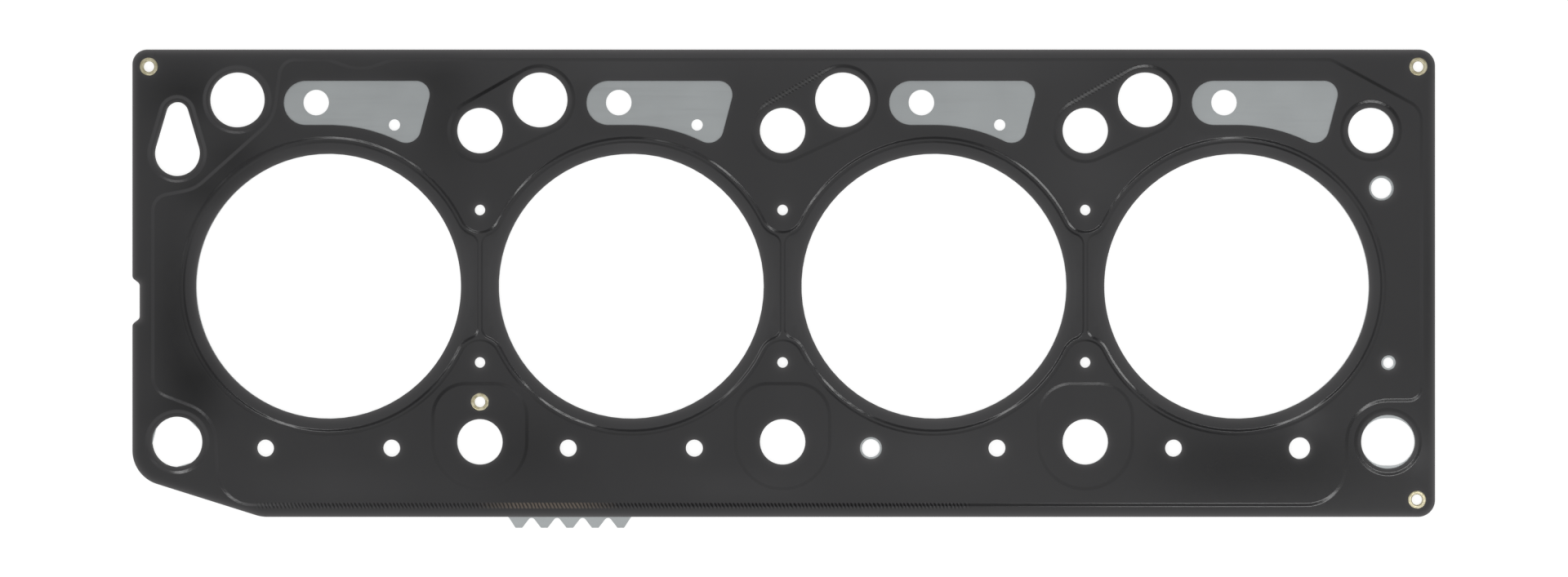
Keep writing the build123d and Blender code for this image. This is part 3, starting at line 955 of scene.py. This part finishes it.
def sealing_coat():
    """Dark satin rubber coat, with a fine grain, cloudy tone and scuffs, and with painted glare along sheet
    edges and round the bores, painted shade and highlights on flats and flanks, and painted highlights on
    the strokes and the worn stretch.
    """
    coat = Surface("sealing_coat")
    grain = coat.noise(COAT_GRAIN)
    cloud = coat.spread(coat.noise(COAT_CLOUD), *NOISE_RANGE, -COAT_CLOUD_TONE, COAT_CLOUD_TONE)
    tone = coat.sums("ADD", coat.attribute("painted_shading"), cloud)
    marks = 0.0
    roughened = 0.0
    for start, end in WEB_SCUFFS:
        mask, strokes = coat.scuff(start, end, SCUFF_FADE)
        marks = coat.sums("ADD", marks, coat.sums("MULTIPLY", mask, strokes))
        roughened = coat.sums("ADD", roughened, mask)
    mask, strokes = coat.scuff(*RIM_SCUFF, SCUFF_FADE)
    marks = coat.sums("ADD", marks, coat.sums("MULTIPLY", mask, strokes))
    # Painted shade along the rim's pressed line
    tone = coat.sums("MULTIPLY_ADD", mask, RIM_PAINTED_SHADE, tone)
    # Painted highlight and shade: the tool marks' strokes are painted paler and darker by turns
    tone = coat.sums("MULTIPLY_ADD", marks, STROKE_PAINTED_LIGHT, tone)
    body = coat.blend(coat.spread(tone, -1.0, 1.0), COAT_DARK, COAT_LIGHT)
    # Worn stretch: worn coat and a painted highlight, in pale brown strokes
    worn_sheen, strokes = coat.scuff(*WORN_SHEEN_SCUFF, WORN_SHEEN_FADE)
    cover = coat.spread(strokes, *STROKE_RANGE, *WORN_SHEEN_COVER)
    body = coat.blend(coat.sums("MULTIPLY", worn_sheen, cover), body, COAT_WORN_SHEEN)
    # Painted glare: the coat is painted paler near sheet edges
    fade = coat.sums("EXPONENT", coat.sums("MULTIPLY", coat.attribute("edge_distance"), -1 / PAINTED_GLARE_REACH))
    rim = coat.sums("MULTIPLY", fade, coat.attribute("painted_glare"))
    roughness = coat.spread(grain, *NOISE_RANGE, *COAT_ROUGH)
    cuts = coat.spread(marks, -1.0, 1.0)
    coat.shade(
        Base_Color=coat.blend(rim, body, PAINTED_GLARE_COLOUR),
        Roughness=coat.sums("MULTIPLY_ADD", roughened, SCUFF_ROUGH, roughness),
        Specular_IOR_Level=COAT_SHINE,
        Normal=coat.bump(cuts, STROKE_DEPTH, coat.bump(grain, GRAIN_DEPTH)),
    )
    return coat.material


def bare_steel():
    """Rolled bare steel sheet."""
    steel = Surface("bare_steel")
    lines = steel.noise(STEEL_LINES, STEEL_STRETCH)
    cloud = steel.noise(STEEL_CLOUD)
    tone = steel.sums("MULTIPLY_ADD", lines, 0.5, steel.sums("MULTIPLY", cloud, 0.5))
    steel.shade(
        Base_Color=steel.blend(steel.spread(tone, *CLOUD_RANGE), STEEL_DARK, STEEL_LIGHT),
        Metallic=1.0,
        Roughness=steel.spread(lines, *NOISE_RANGE, *STEEL_ROUGH),
        Normal=steel.bump(lines, ROLLING_DEPTH),
    )
    return steel.material


def worn_brass():
    """Brass with a dull film in places."""
    brass = Surface("worn_brass")
    film = brass.spread(brass.noise(BRASS_FILM), *CLOUD_RANGE)
    brass.shade(
        Base_Color=brass.blend(film, BRASS_DARK, BRASS_LIGHT),
        Metallic=1.0,
        Roughness=brass.spread(film, 0.0, 1.0, *BRASS_ROUGH),
        Normal=brass.bump(film, FILM_DEPTH),
    )
    return brass.material


def white_table():
    """White paper that shows white to the camera and in reflections, and takes the gasket's shadow."""
    paper = Surface("white_table")
    path = paper.add("ShaderNodeLightPath")
    seen = paper.sums("MAXIMUM", path.outputs["Is Camera Ray"], path.outputs["Is Glossy Ray"])
    seen = paper.sums("MAXIMUM", seen, path.outputs["Is Transmission Ray"])
    paper.shade(
        Base_Color=TABLE_COLOUR,
        Roughness=TABLE_ROUGH,
        Emission_Color=(1, 1, 1, 1),
        Emission_Strength=paper.sums("MULTIPLY", seen, TABLE_GLOW),
    )
    return paper.material


def room_light():
    """World: bright above and towards the upper edge of the picture, dim at a slant elsewhere."""
    world = bpy.data.worlds.new("room")
    world.use_nodes = True
    room = Nodes(world.node_tree)
    split = room.add("ShaderNodeSeparateXYZ")
    room.join(room.add("ShaderNodeTexCoord").outputs["Generated"], split.inputs[0])
    x, y, z = split.outputs
    upward = room.spread(y, *UPWARD_EDGE, 0.0, 1.0, "SMOOTHSTEP")
    sideways = room.spread(room.sums("ABSOLUTE", x), *SIDE_EDGE, 1.0, ROOM_SIDE, "SMOOTHSTEP")
    corner = room.spread(room.sums("ADD", x, y), *CORNER_EDGE, 1.0, ROOM_CORNER, "SMOOTHSTEP")
    open_part = room.sums("MULTIPLY", room.sums("MULTIPLY", upward, sideways), corner)
    above = room.spread(open_part, 0.0, 1.0, ROOM_DIM, ROOM_ABOVE, "SMOOTHSTEP")
    level = room.spread(z, *LOW_EDGE, above, ROOM_LOW, "SMOOTHSTEP")
    background = room.add("ShaderNodeBackground")
    room.join(level, background.inputs["Color"])
    room.join(background.outputs[0], room.add("ShaderNodeOutputWorld").inputs["Surface"])
    return world


def dress(piece, material):
    """Gives a piece one material."""
    piece.data.materials.clear()
    piece.data.materials.append(material)


# Objects of an empty Blender file
for leftover in ("Cube", "Light", "Camera"):
    if leftover in bpy.data.objects:
        bpy.data.objects.remove(bpy.data.objects[leftover])

# Active layers
coat = sealing_coat()
pressed_skin = smoothed(top_skin("upper_active_layer"))
for node, mirrored in (("upper_active_layer", False), ("lower_active_layer", True)):
    sheet = active_sheet("coated_" + node, pressed_skin, mirrored)
    dress(sheet, coat)
    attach(sheet, "root")
    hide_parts(node)

# Eyelets
brass = worn_brass()
for seed, node in enumerate(sorted(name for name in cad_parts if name.startswith("eyelet"))):
    eyelet = rolled_eyelet("rolled_" + node, node, seed)
    dress(eyelet, brass)
    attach(eyelet, "root")
    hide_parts(node)

# Carrier and stopper rings
steel = bare_steel()
for node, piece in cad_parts.items():
    if node.startswith(("carrier", "stopper")):
        dress(piece, steel)

# Table
table_data = bpy.data.meshes.new("table_top")
corners = [(TABLE_REACH * x, TABLE_REACH * y, 0) for x, y in ((-1, -1), (1, -1), (1, 1), (-1, 1))]
table_data.from_pydata(corners, [], [(0, 1, 2, 3)])
table = placed("table_top", table_data)
table.location.z = TABLE_HEIGHT
dress(table, white_table())

# Room light, and two soft boxes on the side nearest the lower edge of the picture
bpy.context.scene.world = room_light()
for name, (left, right, lower, upper) in (("left_lamp", LEFT_LAMP), ("right_lamp", RIGHT_LAMP)):
    light = bpy.data.lights.new(name, "AREA")
    light.shape = "RECTANGLE"
    light.size = right - left
    light.size_y = upper - lower
    light.energy = LAMP_GLOWS[name] * math.pi * light.size * light.size_y
    lamp = placed(name, light)
    lamp.location = ((left + right) / 2, (lower + upper) / 2, LAMP_HEIGHT)

# Camera
camera_data = bpy.data.cameras.new("camera")
camera_data.lens = LENS
camera_data.sensor_width = SENSOR
camera = placed("camera", camera_data)
camera.location = (*PHOTO_CENTRE, STACK_HEIGHT + PHOTO_WIDTH * LENS / SENSOR)
bpy.context.scene.camera = camera
bpy.context.scene.view_settings.view_transform = "Standard"
